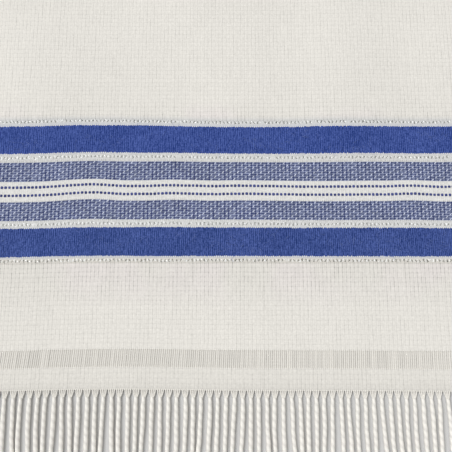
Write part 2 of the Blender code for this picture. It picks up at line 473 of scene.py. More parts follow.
def blueWool(name, middle, low, high):
    material, shader, x, d = wovenWool(name)
    warps = pairNumber(x) * 2.0
    sharp, depth, uneven = blueCover["ribs"]
    ribs = ridge(warps, sharp)
    raised(shader, 1.0 - ribs + ridge(d / weave["bluePick"], 1.0) * 0.3, blueCover["relief"])
    # painted shade in the grooves between the ribs and painted highlight on their crests
    tone = 1.0 - (ribs - 0.5) * unevenness(x * 0.11, d * 0.12, uneven) * depth
    tone = tone * around(drawn(warps, 0.0), blueCover["warps"])
    tone = mottled(tone, x, d, blueCover["clouds"])
    deep = tuple(part - swing for part, swing in zip(middle, wool["blueSwing"]))
    pale = tuple(part + swing for part, swing in zip(middle, wool["blueSwing"]))
    least, more = blueCover["teeth"]
    tooth = ridge(warps, 1.2) * (drawn(warps + 0.5, 8.0) * more + least)
    white = 1.0 - ease(calc("MINIMUM", d - low, high - d) - tooth, 0.0, 0.10)
    feed(shader.inputs["Base Color"], blend(white, blend(tone - 0.5, deep, pale), wool["white"]))
    return material


figured = {
    "starts": (93.68, 116.43),
    "rows": (1.3625, 1.41625),
    "count": 8,
    "darkWarp": 1.48,
    "warpLines": (14.0, 1.5, 0.68),  # sharpness, unevenness and depth
    "pickLines": (4.0, 0.5, 0.86),
    "cells": 0.34,
    "clouds": ((1.1, 1.1, 3.0, 0.20), (0.045, 0.06, 2.0, 0.16)),
    "relief": 0.00008,
    "floatAt": 0.385,
    "floatSize": (0.23, 0.98, 0.15),
    "wideSpread": (0.70, 1.12),
    "longSpread": (0.88, 1.08),
    "wander": (0.09, 0.07),
    "rise": 0.02,
    "lean": -44.0,  # degrees
    "leanSpread": 9.0,
    "fromEdge": 0.001,
    "seed": 83,
}


def figuredWool(name, start, pitch):
    # pale blue blocks between dark picks and dark warps; the white floats on them are pieces of their own
    material, shader, x, d = wovenWool(name)
    across = (x - figured["darkWarp"]) / weave["warpPair"]
    row = (d - (start + pitch / 2)) / pitch
    sharp, uneven, depth = figured["warpLines"]
    warpLines = ridge(across, sharp) * unevenness(calc("ROUND", across) * 0.71, d * 0.13, uneven) * depth
    sharp, uneven, depth = figured["pickLines"]
    pickLines = ridge(row, sharp) * unevenness(x * 0.16, calc("ROUND", row) * 0.77, uneven) * depth
    dark = calc("ADD", pickLines, warpLines, clamp=True)
    block = tinted(wool["figuredMid"], around(drawn(across * 2.0, row * 2.0), figured["cells"]))
    paint(shader, blend(dark, block, wool["figuredDark"]), mottled(1.0, x, d, figured["clouds"]))
    raised(shader, 1.0 - dark, figured["relief"])
    return material


closeWhite = {
    "ribs": -0.034,
    "picks": -0.020,
    "clouds": ((1.0, 1.0, 4.0, 0.150),),
    "cells": 0.075,
    # how dark the painted shade in the pinholes is, and how far it reaches
    "pinholeShade": 0.60,
    "pinholeReach": 0.50,
    "pinholesAt": (6.1, 17.5),  # where the pinholes' painted shade lies, from the stripe group's middle, in the dotted and in the silver stripes
    "relief": 0.00006,
}


def plainWhiteWool(name, colour, pinholesAt):
    # close white picks between the coloured ones, and a line of painted shade in pinholes where the figured
    # band begins
    material, shader, x, d = wovenWool(name)
    pairs, pick = pairNumber(x), d / weave["pick"]
    warps = pairs * 2.0
    ribs, picks = ridge(warps, 2.0), ridge(pick, 1.5)
    away = groupDistance(d)
    # painted shade: a line of darker pinholes
    pinholeShade = 1.0 - ease(abs(away - pinholesAt), 0.0, closeWhite["pinholeReach"])
    pinholeShade = pinholeShade * ridge(warps, 5.0) * drawn(warps + 0.5, 3.0)
    tone = around(ribs, closeWhite["ribs"]) * around(picks, closeWhite["picks"])
    tone = mottled(tone, x, d, closeWhite["clouds"]) * around(drawn(warps, pick), closeWhite["cells"])
    tone = tone * (1.0 - pinholeShade * closeWhite["pinholeShade"])
    paint(shader, besideBlue(pairs, colour, ease(away, *besideStripe["whiteReach"]), 0.0), tone)
    raised(shader, ribs + picks, closeWhite["relief"])
    return material


spun = {
    "twists": {  # length and pitch of the plies, how dark the painted shade in the groove between them is, relief in metres
        "bareWarpYarn": (9.0, 1.6, 0.03, 0.00005),
        "fringeYarn": (66.0, 4.2, 0.08, 0.00012),
        "fringeRootYarn": (6.0, 1.6, 0.03, 0.00006),
        "eyeletThread": (3.0, 0.9, 0.10, 0.00004),
        "tasselString": (170.0, 3.2, 0.08, 0.00012),
    },
    "fibreScale": 1300.0,
    "fibre": 0.10,
    "fibreRelief": 0.6,
    "warpSpread": 0.038,
    "paleFrom": 0.92,  # the share of the bare warps that aren't paler than the rest
    "paler": 0.035,
    # painted shade in the gaps between the bare warps
    "yarnGapShade": 0.075,
    "patches": 120.0,  # to a metre
}


def spunYarn(name, colour, bare=False):
    # two plies twisted round each other, with painted shade in the groove between them
    material, shader = woolShader(name)
    length, pitch, spread, relief = spun["twists"][name]
    along, turned = mapPlace(shader, "yarn")
    groove = ridge(along * (length / pitch) + turned, 3.0)
    fibre = hairy(shader, spun["fibreScale"], 3.0)
    # painted shade in the groove between the plies
    tone = around(groove, -spread) * around(fibre, spun["fibre"])
    if bare:  # each warp a little lighter or darker than the next
        warp = attribute(shader, "across") / (weave["warpPair"] / 2)
        chance = drawn(warp, 5.0)
        x, y = splitUp(objectPlace(shader))
        # patchy painted shade in the gaps between the bare warps
        yarnGapShade = ridge(warp, 3.0) * unevenness(x * spun["patches"], y * spun["patches"], 0.5)
        tone = tone * around(chance, spun["warpSpread"]) * (1.0 - yarnGapShade * spun["yarnGapShade"])
        tone = tone * (calc("GREATER_THAN", chance, spun["paleFrom"]) * spun["paler"] + 1.0)
    paint(shader, colour, tone)
    raised(shader, fibre * spun["fibreRelief"] + (1.0 - groove), relief)
    return material


tape = {
    # the colours by tone: painted dark reflection and shade up to painted glints
    "stops": ((0.0, (0.072, 0.080, 0.068)), (0.42, (0.17, 0.18, 0.165)), (0.60, (0.62, 0.64, 0.63)),
              (1.0, (0.96, 0.97, 0.97))),
    "metallic": 0.85,
    "roughness": 0.46,
}


def silverTape(name):
    # flat metal picks, their colour running from painted dark reflection and shade to painted glints by each
    # mark's tone
    material, shader = newMaterial(name, tape["roughness"])
    ramp = addNode(shader, "ShaderNodeValToRGB")
    while len(ramp.color_ramp.elements) < len(tape["stops"]):
        ramp.color_ramp.elements.new(0.5)
    for element, (place, colour) in zip(ramp.color_ramp.elements, tape["stops"]):
        element.position = place
        element.color = (*colour, 1.0)
    feed(ramp.inputs[0], attribute(shader, "tone"))
    feed(shader.inputs["Base Color"], ramp.outputs[0])
    shader.inputs["Metallic"].default_value = tape["metallic"]
    return material


dyed = {
    "spread": {"floatWool": 0.14, "dotWool": 0.25, "fuzzWool": 0.3},
    "fibre": (2600.0, 0.25),  # scale and spread
}


def dyedFloat(name, colour):
    # one short float of dyed wool, a little lighter or darker than its neighbours
    material, shader = woolShader(name)
    scale, spread = dyed["fibre"]
    tone = around(attribute(shader, "tone"), dyed["spread"][name])
    paint(shader, colour, tone * around(hairy(shader, scale), spread))
    return material


def makeFloor():
    material, shader = newMaterial("palePaper", studio["floorRoughness"], studio["floorSpecular"])
    scale, spread = studio["floorGrain"]
    paint(shader, studio["floorColour"], around(hairy(shader, scale), spread))
    bm = bmesh.new()
    bmesh.ops.create_grid(bm, x_segments=2, y_segments=2, size=studio["floorSize"] / 2)
    addObject("floor", meshFrom("floor", bm), material)


# How the cloth lies

cloth = {
    "width": 1.200,
    "length": 1.700,
    "wall": 0.0015,
    "columns": 240,
    "rowDepth": 0.0085,
    "cornerRowDepth": 0.0026,  # where the corners are lifted
    "middleRowDepth": 0.020,
    "roundedOver": 0.0009,  # how far in from a free edge the cloth begins to round off
    "roundedTo": (0.22, 0.66),  # the underside and the top at a free edge, in walls
    "selvedge": 7.0,  # mm
    "fringe": 0.070,
    "holeInset": 0.045,
    "holeRadius": 0.0035,
    "holeSides": 24,
    "string": 0.0013,
    "gap": 0.0003,
    "liftFlat": 0.008,  # round a corner hole, and how far the lift reaches across and along the cloth
    "liftAcross": 0.030,
    "liftAlong": 0.028,
    "cutterDepth": 0.02,
    "leastSheet": 0.010,
    "sharpAngle": 50,
}
ends = (("near", -1), ("far", 1))

endSections = (  # from a woven end inwards: name, depth, slot, strips in its baked picture
    ("end_strip", 0.01200, "natural_wool", 8),
    ("open_band", 0.00925, "bare_warp", 0),
    ("end_ground", 0.05136, "natural_wool", 4),
    ("blue_outer", 0.01705, "blue_wool", 8),
    ("silver_outer", 0.00402, "silver_stripe", 12),
    ("figured_outer", 0.01090, "figured_stripe", 8),
    ("dotted", 0.01185, "dotted_stripe", 8),
    ("figured_inner", 0.01133, "figured_stripe", 8),
    ("silver_inner", 0.00481, "silver_stripe", 12),
    ("blue_inner", 0.01734, "blue_wool", 8),
)

ripples = (  # x, y, crest's angle, length, half width, height
    (-0.430, -0.520, 68.0, 0.360, 0.062, 0.0052),
    (-0.250, -0.300, 74.0, 0.420, 0.055, 0.0041),
    (0.335, -0.455, 112.0, 0.400, 0.066, 0.0056),
    (0.480, -0.150, 97.0, 0.330, 0.058, 0.0047),
    (0.200, 0.275, 58.0, 0.380, 0.060, 0.0038),
    (-0.345, 0.330, 121.0, 0.440, 0.068, 0.0060),
    (-0.505, -0.030, 84.0, 0.300, 0.052, 0.0036),
    (0.420, 0.470, 79.0, 0.360, 0.061, 0.0050),
    (-0.110, 0.560, 101.0, 0.340, 0.057, 0.0043),
    (0.075, -0.640, 83.0, 0.210, 0.044, 0.0016),
    (-0.120, -0.655, 99.0, 0.190, 0.040, 0.0013),
    (0.290, -0.735, 92.0, 0.150, 0.048, 0.0024),
    (-0.330, 0.745, 88.0, 0.140, 0.050, 0.0026),
)

drifts = (  # x, y, reach to the left, to the right and along the cloth, shift
    (-0.0766, -0.790, 0.052, 0.105, 0.150, 0.00125),
    (0.1550, -0.830, 0.120, 0.110, 0.085, -0.00060),
    (-0.4100, -0.800, 0.180, 0.160, 0.260, -0.00360),
    (0.4300, -0.820, 0.190, 0.150, 0.240, 0.00300),
    (0.2200, 0.800, 0.260, 0.240, 0.300, 0.00450),
    (-0.3000, 0.820, 0.200, 0.240, 0.260, -0.00380),
    (-0.0910, -0.779, 0.120, 0.048, 0.119, -0.00086),
    (-0.0770, -0.739, 0.033, 0.021, 0.031, 0.00125),
    (-0.0435, -0.781, 0.073, 0.058, 0.057, -0.00084),
    (-0.0305, -0.742, 0.018, 0.042, 0.038, 0.00063),
    (0.0085, -0.739, 0.019, 0.053, 0.030, 0.00067),
    (0.1080, -0.740, 0.021, 0.023, 0.031, 0.00136),
    (-0.0830, -0.703, 0.032, 0.089, 0.026, 0.00095),
    (0.1130, -0.738, 0.030, 0.031, 0.039, -0.00125),
    (0.1395, -0.726, 0.120, 0.013, 0.048, 0.00082),
)


def swell(distance, reach):
    if abs(distance) >= reach:
        return 0.0
    return math.cos(math.pi / 2 * distance / reach) ** 2


def plateau(distance, flat, reach):
    if abs(distance) <= flat:
        return 1.0
    return swell(abs(distance) - flat, reach - flat)


def smoothShare(share):
    share = min(max(share, 0.0), 1.0)
    return share * share * (3 - 2 * share)


def rippleLift(x, y):
    lift = 0.0
    for centreX, centreY, angle, length, halfWidth, height in ripples:
        east, north = x - centreX, y - centreY
        if east * east + north * north > (length / 2 + halfWidth) ** 2:
            continue
        crest = math.radians(angle)
        along = east * math.cos(crest) + north * math.sin(crest)
        across = north * math.cos(crest) - east * math.sin(crest)
        lift = max(lift, height * swell(across, halfWidth) * plateau(along, 0.25 * length, 0.5 * length))
    return lift


loopLift = cloth["string"] + 2 * cloth["gap"]


def holeCentre(side, way):
    return side * (cloth["width"] / 2 - cloth["holeInset"]), way * (cloth["length"] / 2 - cloth["holeInset"])


def cornerLift(x, y):
    holeX, holeY = holeCentre(1, 1)
    inwards = max(0.0, holeX - cloth["liftFlat"] - abs(x))
    along = plateau(abs(y) - holeY, cloth["liftFlat"], cloth["liftAlong"])
    return loopLift * swell(inwards, cloth["liftAcross"]) * along


def weftDrift(x, y):
    shift = 0.0
    for centreX, centreY, left, right, reachY, amount in drifts:
        reachX = left if x < centreX else right
        shift += amount * swell(x - centreX, reachX) * swell(y - centreY, reachY)
    return shift


sideWander = {
    "reach": 0.62,  # metres each way from the middle of the cloth's length
    "waves": ((1.5, 7.3, 0.8), (0.8, 17.0, 2.1)),  # mm sideways, waves, phase
}


def sideDrift(x, y):
    # the selvedges wander a little between the two ends
    share = swell(y, sideWander["reach"]) * (abs(x) / (cloth["width"] / 2)) ** 3
    side = 1 if x > 0 else -1
    waves = sum(size * math.sin(often * y + start * side) for size, often, start in sideWander["waves"])
    return share * mm * waves


def lifted(x, y):
    return max(rippleLift(x, y), cornerLift(x, y))


def laid(x, y, height):
    return Vector((x + sideDrift(x, y), y + weftDrift(x, y), height + lifted(x, y)))


def fromEnd(y):
    return cloth["length"] / 2 - abs(y)


def warpStep(x):
    waves = sum(size * math.sin(often * x) for size, often in openBand["waves"])
    return mm * (openBand["step"] + waves) * plateau(x, *openBand["stepReach"])


def offCloth(x, margin):
    return abs(x) > cloth["width"] / 2 - margin


def endPlace(way, distance):
    # along the cloth, of what lies that many mm from its woven end
    return way * (cloth["length"] / 2 - distance * mm)


def shares(count):
    return [step / (count - 1) for step in range(count)]


def either(chance, most):
    return chance.uniform(-1, 1) * most


def settle(piece, slotName, *nodes):
    if nodes:
        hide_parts(*nodes)
    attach(piece, "root")
    return piece


# Woven stretches

def meshOf(carrier):
    bpy.context.view_layer.update()
    shown = carrier.evaluated_get(bpy.context.evaluated_depsgraph_get())
    return bpy.data.meshes.new_from_object(shown)


def bakePlace(face, x, y, low, high, folds):
    # the top's strips, the underside's and the edges, each in its own part of the picture
    width = cloth["width"]
    centre = face.calc_center_median()
    strip = min(folds - 1, int((centre.x / width + 0.5) * folds))
    u = ((x / width + 0.5) * folds - strip) * 0.996 + 0.002
    v = (y - low) / (high - low)
    if face.normal.z > 0.5:
        return u, (strip + 0.02 + 0.96 * v) / folds * 0.70
    if face.normal.z < -0.5:
        return u, 0.71 + (strip + 0.05 + 0.90 * v) / folds * 0.19
    edge = 0 if face.normal.y < -0.5 else 1 if face.normal.y > 0.5 else 2 if face.normal.x < 0 else 3
    run = v if edge > 1 else x / width + 0.5
    return 0.01 + 0.98 * run, 0.91 + 0.02 * edge


def cutAcross(bm, place, direction):
    everything = bm.verts[:] + bm.edges[:] + bm.faces[:]
    bmesh.ops.bisect_plane(bm, geom=everything, dist=1e-6, plane_co=place, plane_no=direction)


def wovenPiece(name, low, high, rowDepth, material, folds):
    width, wall = cloth["width"], cloth["wall"]
    rows = max(2, 2 * math.ceil((high - low) / rowDepth / 2))
    bm = bmesh.new()
    bmesh.ops.create_grid(bm, x_segments=cloth["columns"], y_segments=rows, size=0.5)
    bmesh.ops.scale(bm, verts=bm.verts, vec=(width, high - low, 1.0))
    bmesh.ops.translate(bm, verts=bm.verts, vec=(0.0, (low + high) / 2, 0.0))
    for side in (-1, 1):
        cutAcross(bm, (side * (width / 2 - cloth["roundedOver"]), 0.0, 0.0), (1.0, 0.0, 0.0))
        place = side * (cloth["length"] / 2 - cloth["roundedOver"])
        if low < place < high:
            cutAcross(bm, (0.0, place, 0.0), (0.0, 1.0, 0.0))
    top = bmesh.ops.extrude_face_region(bm, geom=bm.faces[:], use_keep_orig=True)["geom"]
    bmesh.ops.translate(bm, verts=[part for part in top if isinstance(part, bmesh.types.BMVert)],
                        vec=(0.0, 0.0, wall))
    bmesh.ops.recalc_face_normals(bm, faces=bm.faces)
    woven, bake = bm.loops.layers.uv.new("weave"), bm.loops.layers.uv.new("OFBake")
    atEnd = fromEnd(max(abs(low), abs(high))) < 1e-6
    for face in bm.faces:
        for loop in face.loops:
            x, y = loop.vert.co.x, loop.vert.co.y
            loop[woven].uv = ((x - (warpStep(x) if atEnd else 0.0)) / mm, fromEnd(y) / mm)
            u, v = bakePlace(face, x, y, low, high, folds)
            if abs(face.normal.z) < 0.5:
                v += 0.015 * loop.vert.co.z / wall
            loop[bake].uv = (u, v)
        face.smooth = True
    for vert in bm.verts:
        x, y, z = vert.co
        if offCloth(x, 1e-5) or abs(y) > cloth["length"] / 2 - 1e-5:
            z = wall * cloth["roundedTo"][1 if z > wall / 2 else 0]
        vert.co = laid(x, y, z)
    mesh = meshFrom(name, bm)
    mesh.set_sharp_from_angle(angle=math.radians(cloth["sharpAngle"]))
    return addObject(name, mesh, material)


def holePlace(side, way):
    x, y = holeCentre(side, way)
    return x, y + weftDrift(x, y)


def cutCornerHoles(piece, way):
    bm = bmesh.new()
    for side in (-1, 1):
        made = bmesh.ops.create_cone(
            bm, cap_ends=True, segments=cloth["holeSides"], radius1=cloth["holeRadius"],
            radius2=cloth["holeRadius"], depth=cloth["cutterDepth"])
        bmesh.ops.translate(bm, verts=made["verts"], vec=(*holePlace(side, way), 0.0))
    woven, bake = bm.loops.layers.uv.new("weave"), bm.loops.layers.uv.new("OFBake")
    for face in bm.faces:
        centre = face.calc_center_median()
        side = 1 if centre.x > 0 else -1
        x, y = holePlace(side, way)
        middle = math.atan2(centre.y - y, centre.x - x)
        for loop in face.loops:
            point = loop.vert.co
            angle = math.atan2(point.y - y, point.x - x)
            turn = middle + math.remainder(angle - middle, 2 * math.pi)
            loop[woven].uv = (point.x / mm, fromEnd(point.y) / mm)
            loop[bake].uv = (0.5 + side * (0.25 + 0.06 * turn), 0.9925 + 0.2 * point.z)
    cutter = addObject("holeCutter", meshFrom("holeCutter", bm))
    cut = piece.modifiers.new("holes", "BOOLEAN")
    cut.operation = "DIFFERENCE"
    cut.solver = "EXACT"
    cut.object = cutter
    old, piece.data = piece.data, meshOf(piece)
    piece.modifiers.remove(cut)
    bpy.data.objects.remove(cutter)
    bpy.data.meshes.remove(old)
    piece.data.set_sharp_from_angle(angle=math.radians(cloth["sharpAngle"]))


def pieceName(end, section):
    return end + "".join(word.capitalize() for word in section.split("_")) + "Cloth"


def reach(wanted):
    # the distances from the woven end at which a stretch begins and ends, mm
    place = 0.0
    for section, depth, *others in endSections:
        if section == wanted:
            return place / mm, (place + depth) / mm
        place += depth


def clothFinishes():
    finishes = {
        "end_strip": groundWool("endStripWool", "end_strip"),
        "end_ground": groundWool("endGroundWool", "end_ground"),
        "middle": groundWool("middleGroundWool", "middle"),
        "blue_outer": blueWool("blueOuterWool", wool["blueOuter"], *reach("blue_outer")),
        "blue_inner": blueWool("blueInnerWool", wool["blue"], *reach("blue_inner")),
        "dotted": plainWhiteWool("dottedWool", wool["white"], closeWhite["pinholesAt"][0]),
    }
    for place, start, pitch in zip(("outer", "inner"), figured["starts"], figured["rows"]):
        finishes["figured_" + place] = figuredWool(f"figured{place.capitalize()}Wool", start, pitch)
        finishes["silver_" + place] = plainWhiteWool(
            f"silver{place.capitalize()}Wool", wool["innerEdge"], closeWhite["pinholesAt"][1])
    return finishes


def makeCloth():
    finishes = clothFinishes()
    made = {}
    for end, way in ends:
        place = cloth["length"] / 2
        for section, depth, slotName, folds in endSections:
            if section != "open_band":
                low, high = sorted((way * place, way * (place - depth)))
                rowDepth = cloth["cornerRowDepth" if section == "end_ground" else "rowDepth"]
                piece = wovenPiece(pieceName(end, section), low, high, rowDepth, finishes[section], folds)
                if section == "end_ground":
                    cutCornerHoles(piece, way)
                made[end, section] = settle(piece, slotName, f"{end}_{section}")
            place -= depth
    piece = wovenPiece("middleGroundCloth", -place, place, cloth["middleRowDepth"], finishes["middle"], 1)
    settle(piece, "natural_wool", "middle_ground")
    print("cloth", len(made) + 1, "stretches")
    return made


def declareSheets(stretches, goesWith):
    # the silver stripes are narrower than a sheet may be, so each goes with the blue stripe that it borders
    for end, way in ends:
        for place in ("outer", "inner"):
            goesWith[end, "blue_" + place].append(stretches[end, "silver_" + place])
        for section, depth, *others in endSections:
            (end, section) in stretches and depth >= cloth["leastSheet"]


# Yarns

def yarnPiece(name, lines, radius, material, resolution=1):
    # lines hold the points of each yarn with its share of the radius there
    curve = bpy.data.curves.new(name, "CURVE")
    curve.dimensions = "3D"
    curve.bevel_depth = radius
    curve.bevel_resolution = resolution
    curve.use_fill_caps = True
    for line in lines:
        spline = curve.splines.new("POLY")
        spline.points.add(len(line) - 1)
        spline.use_smooth = True
        for target, (place, share) in zip(spline.points, line):
            target.co = (*place, 1.0)
            target.radius = share
    carrier = addObject(name + "Line", curve)
    mesh = meshOf(carrier)
    bpy.data.objects.remove(carrier)
    bpy.data.curves.remove(curve)
    mesh.name = name
    mesh.uv_layers[0].name = "yarn"
    return addObject(name, mesh, material)


openBand = {
    "start": 12.0,
    "depth": 9.25,
    "step": -0.50,  # mm: how far the warps step aside on their way through the band, and its two waves
    "waves": ((0.40, 12.3), (0.08, 71.0)),
    "stepReach": (0.50, 0.60),  # metres from the middle: in full up to the first, gone at the second
    "radius": 0.00060,
    "flatness": 0.50,
    "pairGap": 0.00054,  # from a pair's middle to each of its yarns
    "lean": 0.00003,
    "wander": 0.00003,
    "sag": (-0.00004, 0.00006),  # of a pair's two yarns
    "height": 0.00112,  # of the yarns' middles
    "tucked": 0.0006,  # how far the yarns run in under the woven stretches
    "fromEdge": 0.0004,
    "thick": (0.93, 1.03),
    "thickFirst": 5,
    "thickEvery": 17,
    "thickShare": 1.15,
    "points": 5,
    "seed": 11,
}


def makeOpenBand(end, way, material):
    chance = random.Random(openBand["seed"] + way)
    pairs = round(cloth["width"] / mm / weave["warpPair"])
    lines = []
    outer = cloth["length"] / 2 - openBand["start"] * mm
    inner = outer - openBand["depth"] * mm
    for pair in range(-(pairs // 2) - 1, pairs // 2 + 2):
        middle = (pair + 0.5) * weave["warpPair"] * mm + weave["pairShift"] * mm
        leanPair = either(chance, openBand["lean"])
        for yarn, sag in zip((-1, 1), openBand["sag"]):
            x = middle + yarn * openBand["pairGap"]
            if offCloth(x, openBand["fromEdge"]):
                continue
            lean = leanPair + either(chance, openBand["lean"])
            thick = chance.uniform(*openBand["thick"])
            if yarn > 0 and (pair - openBand["thickFirst"]) % openBand["thickEvery"] == 0:
                thick = openBand["thickShare"]
            line = []
            for share in shares(openBand["points"]):
                y = way * (outer + openBand["tucked"] - share * (outer - inner + 2 * openBand["tucked"]))
                pinch = math.sin(math.pi * share)
                wander = lean * pinch + either(chance, openBand["wander"])
                aside = warpStep(x) * (1 - share)
                line.append(((x + aside + wander, y, sag * pinch / openBand["flatness"]), thick))
            lines.append(line)
    piece = yarnPiece(end + "OpenBandYarns", lines, openBand["radius"], material)
    across = piece.data.attributes.new("across", "FLOAT", "POINT")
    for vert in piece.data.vertices:  # the yarns are pressed flat, and lie as the cloth does
        x, y, z = vert.co
        aside = warpStep(x) * (abs(y) - inner) / (outer - inner)
        across.data[vert.index].value = (x - aside) / mm - weave["pairShift"]
        vert.co = laid(x, y, openBand["height"] + z * openBand["flatness"])
    return settle(piece, "bare_warp", end + "_open_band")


fringe = {
    "warpsEach": 4,
    "radius": 0.00120,
    "cordsFrom": 0.003575,  # past the woven edge
    "steps": 13,
    "sway": 0.00144,
    "waves": ((0.0034, 38.0, 1.3), (0.0019, 87.0, 0.6)),  # sideways reach at the tips, waves a metre, phase
    "curl": 0.0005,
    "drift": 0.00025,
    "shorter": 0.004,
    "lumps": 0.06,
    "startThick": 0.80,
    "endThick": ((0.93, 0.72), (0.84, 1.14)),  # past this share of the cord: its tip, and the knot before it
    "lifted": 0.00004,
    "rootRadius": 0.00042,
    "rootPoints": 4,
    "rootHeight": 0.00105,
    "rootTucked": (0.0008, 0.0016),  # into the cloth, and into the cord
    "rootsDrawnTo": 0.30,
    "seed": 23,
}


def cordThickness(share, phase):
    if share == 0:
        return fringe["startThick"]
    for place, thick in fringe["endThick"]:
        if share > place:
            return thick
    return 1.0 + fringe["lumps"] * math.sin(phase * 3 + 9 * share)


def makeFringe(end, way, cordFinish, rootFinish):
    chance = random.Random(fringe["seed"] + way)
    warp = weave["warpPair"] / 2 * mm
    pitch = fringe["warpsEach"] * warp
    count = int(cloth["width"] / pitch)
    edge = cloth["length"] / 2
    intoCloth, intoCord = fringe["rootTucked"]
    cords, roots = [], []
    for number in range(count):
        middle = (number - (count - 1) / 2) * pitch
        drift = 0.0
        lean = either(chance, fringe["sway"])
        wave = sum(size * math.sin(often * middle + way * start) for size, often, start in fringe["waves"])
        length = cloth["fringe"] - chance.uniform(0.0, fringe["shorter"])
        phase = chance.uniform(0, 2 * math.pi)
        line = []
        for share in shares(fringe["steps"]):
            drift += either(chance, fringe["drift"])
            curl = fringe["curl"] * math.sin(phase + 5 * share)
            x = middle + drift + (lean + wave * share + curl) * share
            y = way * (edge + fringe["cordsFrom"] + share * (length - fringe["cordsFrom"]))
            thick = cordThickness(share, phase)
            height = fringe["radius"] * max(thick, 1.0) + fringe["lifted"]
            line.append((Vector((x, y + weftDrift(middle, way * edge), height)), thick))
        cords.append(line)
        start = line[0][0]
        for yarn in range(fringe["warpsEach"]):
            aside = (yarn - (fringe["warpsEach"] - 1) / 2) * warp
            root = []
            for share in shares(fringe["rootPoints"]):
                pull = smoothShare(share)
                x = (middle + aside) * (1 - pull) + (start.x + aside * fringe["rootsDrawnTo"]) * pull
                y = way * (edge - intoCloth) * (1 - share) + (start.y + way * intoCord) * share
                if share == 0:
                    y += weftDrift(x, way * edge)
                root.append((Vector((x, y, fringe["rootHeight"] + 0.0001 * pull)), 1.0 - 0.1 * pull))
            roots.append(root)
    cordPiece = yarnPiece(end + "FringeCords", cords, fringe["radius"], cordFinish, resolution=2)
    rootPiece = yarnPiece(end + "FringeRoots", roots, fringe["rootRadius"], rootFinish, resolution=0)
    return settle(cordPiece, "fringe_wool", end + "_fringe"), settle(rootPiece, "fringe_wool")


# Small floats, set on the cloth one by one

def scattered(name, single, places, material):
    # copies of a single mesh; places: point, turn, size, tone
    points, turns, sizes, tones = zip(*places)
    bm = bmesh.new()
    for point in points:
        bm.verts.new(point)
    mesh = meshFrom(name + "Places", bm)
    for label, triples in (("turn", turns), ("size", sizes)):
        layer = mesh.attributes.new(label, "FLOAT_VECTOR", "POINT")
        layer.data.foreach_set("vector", [part for triple in triples for part in triple])
    mesh.attributes.new("tone", "FLOAT", "POINT").data.foreach_set("value", tones)
    carrier = addObject(name + "Places", mesh)
    seed = addObject(name + "Seed", single)
    tree = bpy.data.node_groups.new(name + "Set", "GeometryNodeTree")
    tree.interface.new_socket("Geometry", in_out="INPUT", socket_type="NodeSocketGeometry")
    tree.interface.new_socket("Geometry", in_out="OUTPUT", socket_type="NodeSocketGeometry")
    start, finish = tree.nodes.new("NodeGroupInput"), tree.nodes.new("NodeGroupOutput")
    copies = tree.nodes.new("GeometryNodeInstanceOnPoints")
    real = tree.nodes.new("GeometryNodeRealizeInstances")
    shape = tree.nodes.new("GeometryNodeObjectInfo")
    shape.inputs["Object"].default_value = seed
    for label, slot in (("turn", "Rotation"), ("size", "Scale")):
        reader = tree.nodes.new("GeometryNodeInputNamedAttribute")
        reader.data_type = "FLOAT_VECTOR"
        reader.inputs["Name"].default_value = label
        tree.links.new(reader.outputs[0], copies.inputs[slot])
    tree.links.new(start.outputs[0], copies.inputs["Points"])
    tree.links.new(shape.outputs["Geometry"], copies.inputs["Instance"])
    tree.links.new(copies.outputs[0], real.inputs[0])
    tree.links.new(real.outputs[0], finish.inputs[0])
    carrier.modifiers.new("set", "NODES").node_group = tree
    made = meshOf(carrier)
    for old in (carrier, seed):
        bpy.data.objects.remove(old)
    made.name = name
    made.materials.clear()
    return addObject(name, made, material)


def seedMesh(name, bm, smooth=True):
    bmesh.ops.recalc_face_normals(bm, faces=bm.faces)
    for face in bm.faces:
        face.smooth = smooth
    return meshFrom(name, bm)


def sliverSeed(name):
    # pointed at both ends, which lie along Y
    bm = bmesh.new()
    bmesh.ops.create_uvsphere(bm, u_segments=5, v_segments=3, radius=1.0)
    bmesh.ops.rotate(bm, verts=bm.verts, matrix=Euler((math.pi / 2, 0.0, 0.0)).to_matrix())
    return seedMesh(name, bm)


def blockSeed(name):
    # a squarish pad with its corners taken off
    bm = bmesh.new()
    bmesh.ops.create_cube(bm, size=2.0)
    upright = [edge for edge in bm.edges if abs(edge.verts[0].co.z - edge.verts[1].co.z) > 1.0]
    bmesh.ops.bevel(bm, geom=upright, offset=0.42, segments=1, profile=0.5, material=-1, affect="EDGES")
    top = [vert for vert in bm.verts if vert.co.z > 0]
    bmesh.ops.scale(bm, verts=top, vec=(0.88, 0.88, 1.0))
    return seedMesh(name, bm)


def facetSeed(name):
    bm = bmesh.new()
    bmesh.ops.create_uvsphere(bm, u_segments=4, v_segments=2, radius=1.0)
    bmesh.ops.rotate(bm, verts=bm.verts, matrix=Euler((0.0, 0.0, math.pi / 4)).to_matrix())
    return seedMesh(name, bm, smooth=False)


dots = {
    "lines": (-2.53, 2.20),  # from the group's middle, mm
    "shift": 0.90,
    "size": (0.82, 0.82, 0.20),
    "sizeSpread": (0.90, 1.08),
    "wander": (0.06, 0.07),
    "turn": (-10, 16),  # degrees
    "fromEdge": 0.001,
    "colour": (0.052, 0.066, 0.205),
    "seed": 31,
}


def makeDots(end, way, finish):
    chance = random.Random(dots["seed"] + way)
    strayX, strayY = dots["wander"]
    places = []
    for line in dots["lines"]:
        y = endPlace(way, weave["groupCentre"] + line)
        for number in range(-272, 273):
            x = number * weave["warpPair"] + dots["shift"] + either(chance, strayX)
            if offCloth(x * mm, dots["fromEdge"]):
                continue
            place = laid(x * mm, y + either(chance, strayY) * mm, cloth["wall"])
            size = tuple(part * mm * chance.uniform(*dots["sizeSpread"]) for part in dots["size"])
            turn = (0.0, 0.0, math.radians(chance.uniform(*dots["turn"])))
            places.append((place, turn, size, chance.random()))
    settle(scattered(end + "BlueDots", blockSeed(end + "DotSeed"), places, finish), "blue_wool")


